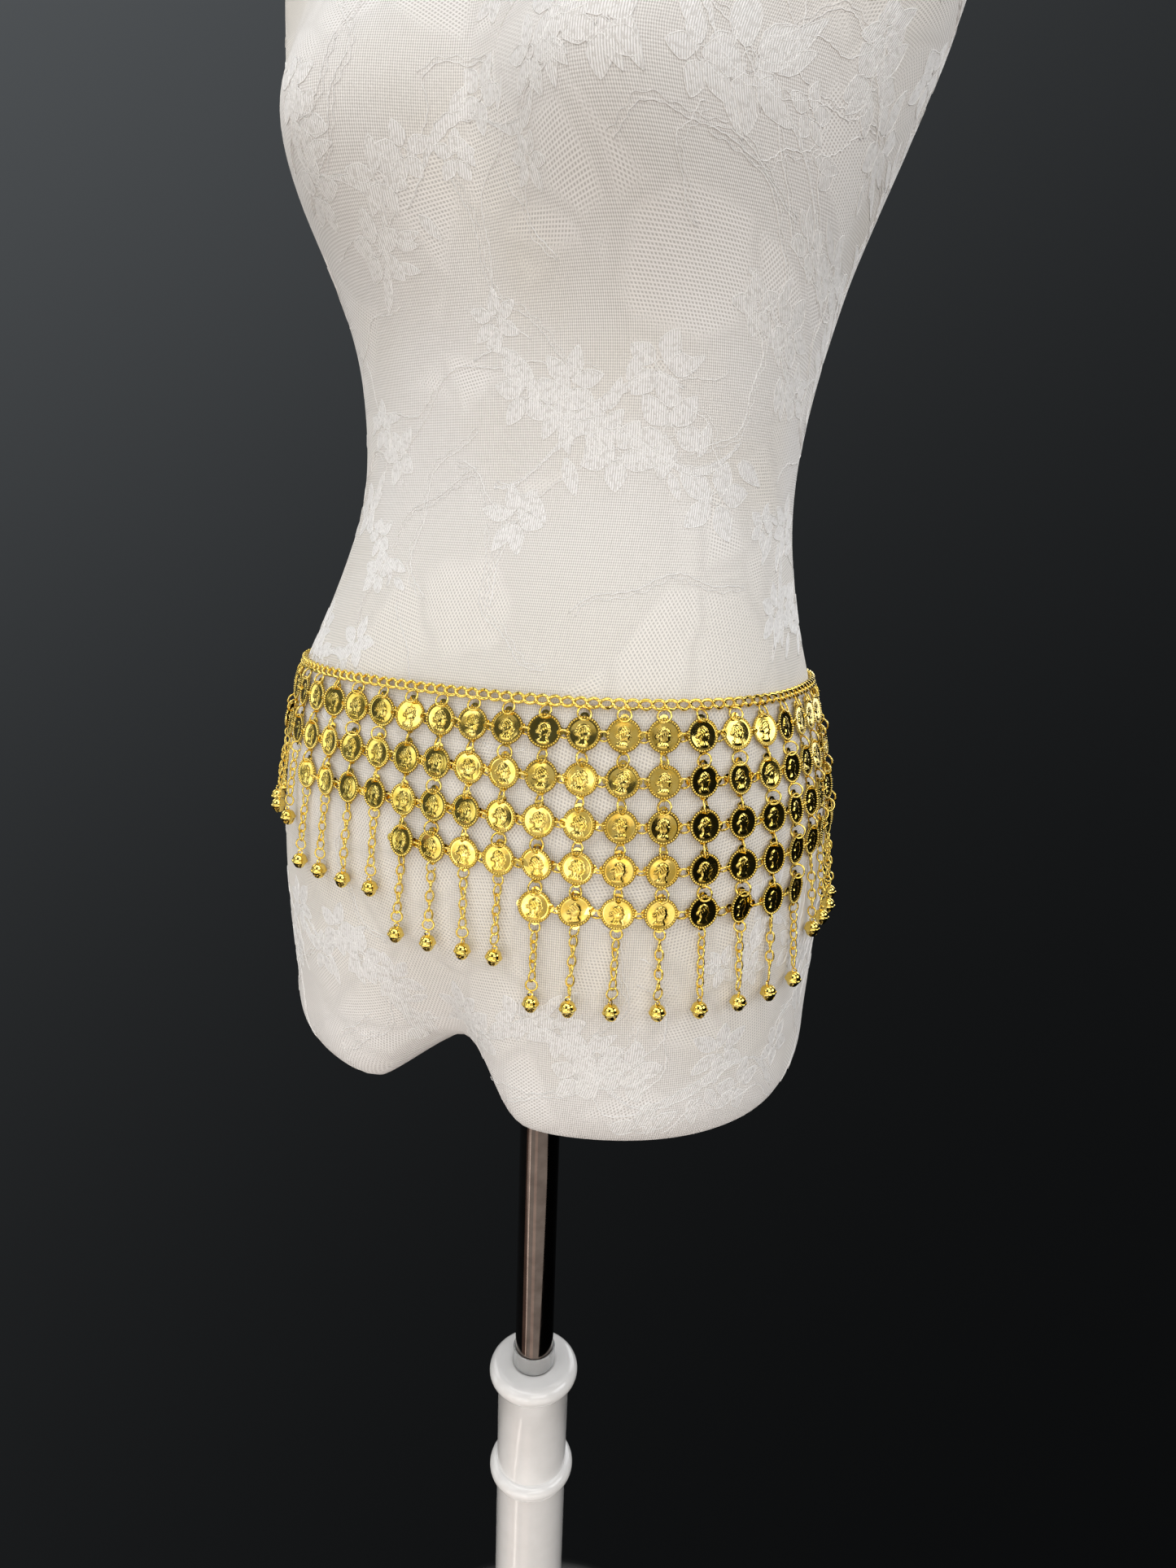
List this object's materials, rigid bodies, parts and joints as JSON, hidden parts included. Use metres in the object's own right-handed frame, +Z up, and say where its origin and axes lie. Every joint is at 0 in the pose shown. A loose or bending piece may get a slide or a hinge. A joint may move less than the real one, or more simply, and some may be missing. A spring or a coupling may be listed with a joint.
{
  "type": "coin waist chain on a dress form",
  "caption": "Waist chain hung with linked coins in stepped rows and a fringe of jingle bells, worn on a limbless lace-covered dress form on a pole stand.",
  "frame": {"origin": "centre of the round base's underside, on the floor", "axes": "+Z up along the pole, the form faces -Y, +X towards the form's left side"},
  "size_m": [0.4106, 0.3, 1.5193],
  "materials": {
    "polished_gold": "bright gold plate, mirror polished",
    "lace_cover": "white ribbed knit under floral lace",
    "dark_chrome": "polished",
    "clear_collar": "clear, satin",
    "white_gloss": "gloss white"
  },
  "bodies": {
    "root": {"coin_column_01": "polished_gold", "coin_column_02": "polished_gold", "coin_column_03": "polished_gold", "coin_column_04": "polished_gold", "coin_column_05": "polished_gold", "coin_column_06": "polished_gold", "coin_column_07": "polished_gold", "coin_column_08": "polished_gold", "coin_column_09": "polished_gold", "coin_column_10": "polished_gold", "coin_column_11": "polished_gold", "coin_column_12": "polished_gold", "coin_column_13": "polished_gold", "coin_column_14": "polished_gold", "coin_column_15": "polished_gold", "coin_column_16": "polished_gold", "coin_column_17": "polished_gold", "coin_column_18": "polished_gold", "coin_column_19": "polished_gold", "coin_column_20": "polished_gold", "coin_column_21": "polished_gold", "coin_column_22": "polished_gold", "coin_column_23": "polished_gold", "coin_column_24": "polished_gold", "coin_column_25": "polished_gold", "coin_column_26": "polished_gold", "coin_column_27": "polished_gold", "coin_column_28": "polished_gold", "coin_column_29": "polished_gold", "coin_column_30": "polished_gold", "coin_column_31": "polished_gold", "coin_column_32": "polished_gold", "waist_chain": "polished_gold", "clasp_hook": "polished_gold", "clasp_ring": "polished_gold", "dress_form": "lace_cover", "neck_cap": "white_gloss", "pole": "dark_chrome", "pole_collar": "clear_collar", "turned_post": "white_gloss", "base": "white_gloss"}
  },
  "joints": []
}
